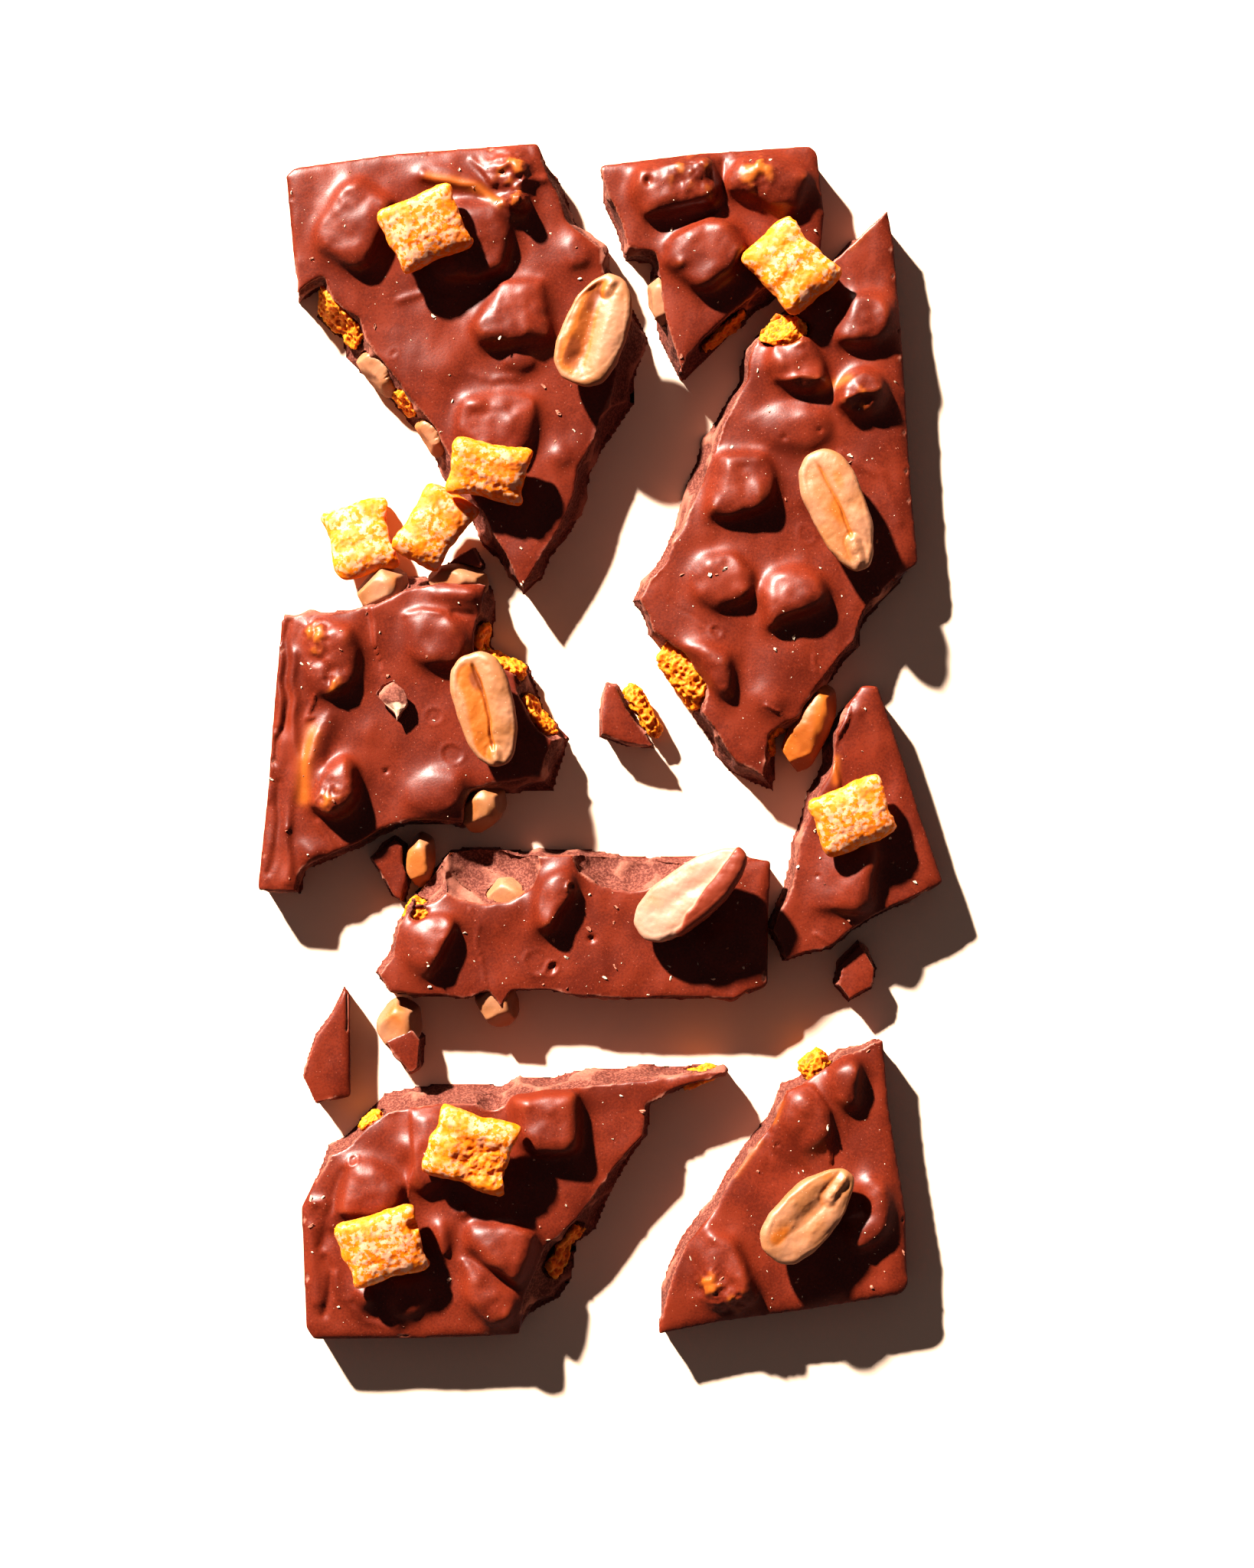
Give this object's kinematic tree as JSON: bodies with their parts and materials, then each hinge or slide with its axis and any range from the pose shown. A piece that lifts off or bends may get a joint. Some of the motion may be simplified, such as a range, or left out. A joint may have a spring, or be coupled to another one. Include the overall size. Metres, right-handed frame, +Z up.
{
  "type": "broken peanut and cereal chocolate bar",
  "caption": "Milk chocolate bar snapped into shards that still lie in its outline, swelled by peanuts and cereal squares, with more of both on top and in the broken sides.",
  "frame": {"origin": "middle of the bar's outline, on the surface that it lies on", "axes": "+Y along the bar towards the two top shards, +X across it to the right as seen from above, +Z up from the table"},
  "size_m": [0.1032, 0.18, 0.0156],
  "materials": {
    "milk_chocolate": "satin milk chocolate, glossy on the cast top and dull where it is broken",
    "corn_cereal": "rough puffed corn with a pale sugar frosting",
    "roasted_peanut": "smooth, slightly oily roasted peanut"
  },
  "bodies": {
    "root": {"shard_top_left": "milk_chocolate", "shard_top_middle": "milk_chocolate", "shard_right": "milk_chocolate", "shard_left": "milk_chocolate", "shard_centre": "milk_chocolate", "shard_right_corner": "milk_chocolate", "shard_bottom_left": "milk_chocolate", "shard_bottom_right": "milk_chocolate", "chip_left_sliver": "milk_chocolate", "chip_middle": "milk_chocolate", "chip_under_left": "milk_chocolate", "chip_nut_cap": "milk_chocolate", "chip_right": "milk_chocolate", "chip_upper_left": "milk_chocolate", "chip_on_left": "milk_chocolate", "chip_middle_cereal": "corn_cereal", "chip_nut_cap_nut": "roasted_peanut", "chip_under_left_nut": "roasted_peanut", "shard_top_left_cereal_1": "corn_cereal", "shard_top_left_nut_2": "roasted_peanut", "shard_top_left_cereal_3": "corn_cereal", "shard_top_left_nut_4": "roasted_peanut", "shard_top_middle_nut_1": "roasted_peanut", "shard_top_middle_cereal_2": "corn_cereal", "shard_right_cereal_1": "corn_cereal", "shard_right_cereal_2": "corn_cereal", "shard_right_cereal_3": "corn_cereal", "shard_right_nut_4": "roasted_peanut", "shard_left_nut_1": "roasted_peanut", "shard_left_nut_2": "roasted_peanut", "shard_left_cereal_3": "corn_cereal", "shard_left_cereal_4": "corn_cereal", "shard_left_nut_5": "roasted_peanut", "shard_centre_cereal_1": "corn_cereal", "shard_centre_nut_2": "roasted_peanut", "shard_centre_nut_3": "roasted_peanut", "shard_bottom_left_cereal_1": "corn_cereal", "shard_bottom_left_cereal_2": "corn_cereal", "shard_bottom_left_cereal_3": "corn_cereal", "shard_bottom_right_cereal_1": "corn_cereal", "cereal_top_left": "corn_cereal", "cereal_top_middle": "corn_cereal", "cereal_upper_left": "corn_cereal", "cereal_left_a": "corn_cereal", "cereal_left_b": "corn_cereal", "cereal_right": "corn_cereal", "cereal_bottom_a": "corn_cereal", "cereal_bottom_b": "corn_cereal", "peanut_top_left": "roasted_peanut", "peanut_right": "roasted_peanut", "peanut_left": "roasted_peanut", "peanut_centre": "roasted_peanut", "peanut_bottom": "roasted_peanut"}
  },
  "joints": []
}
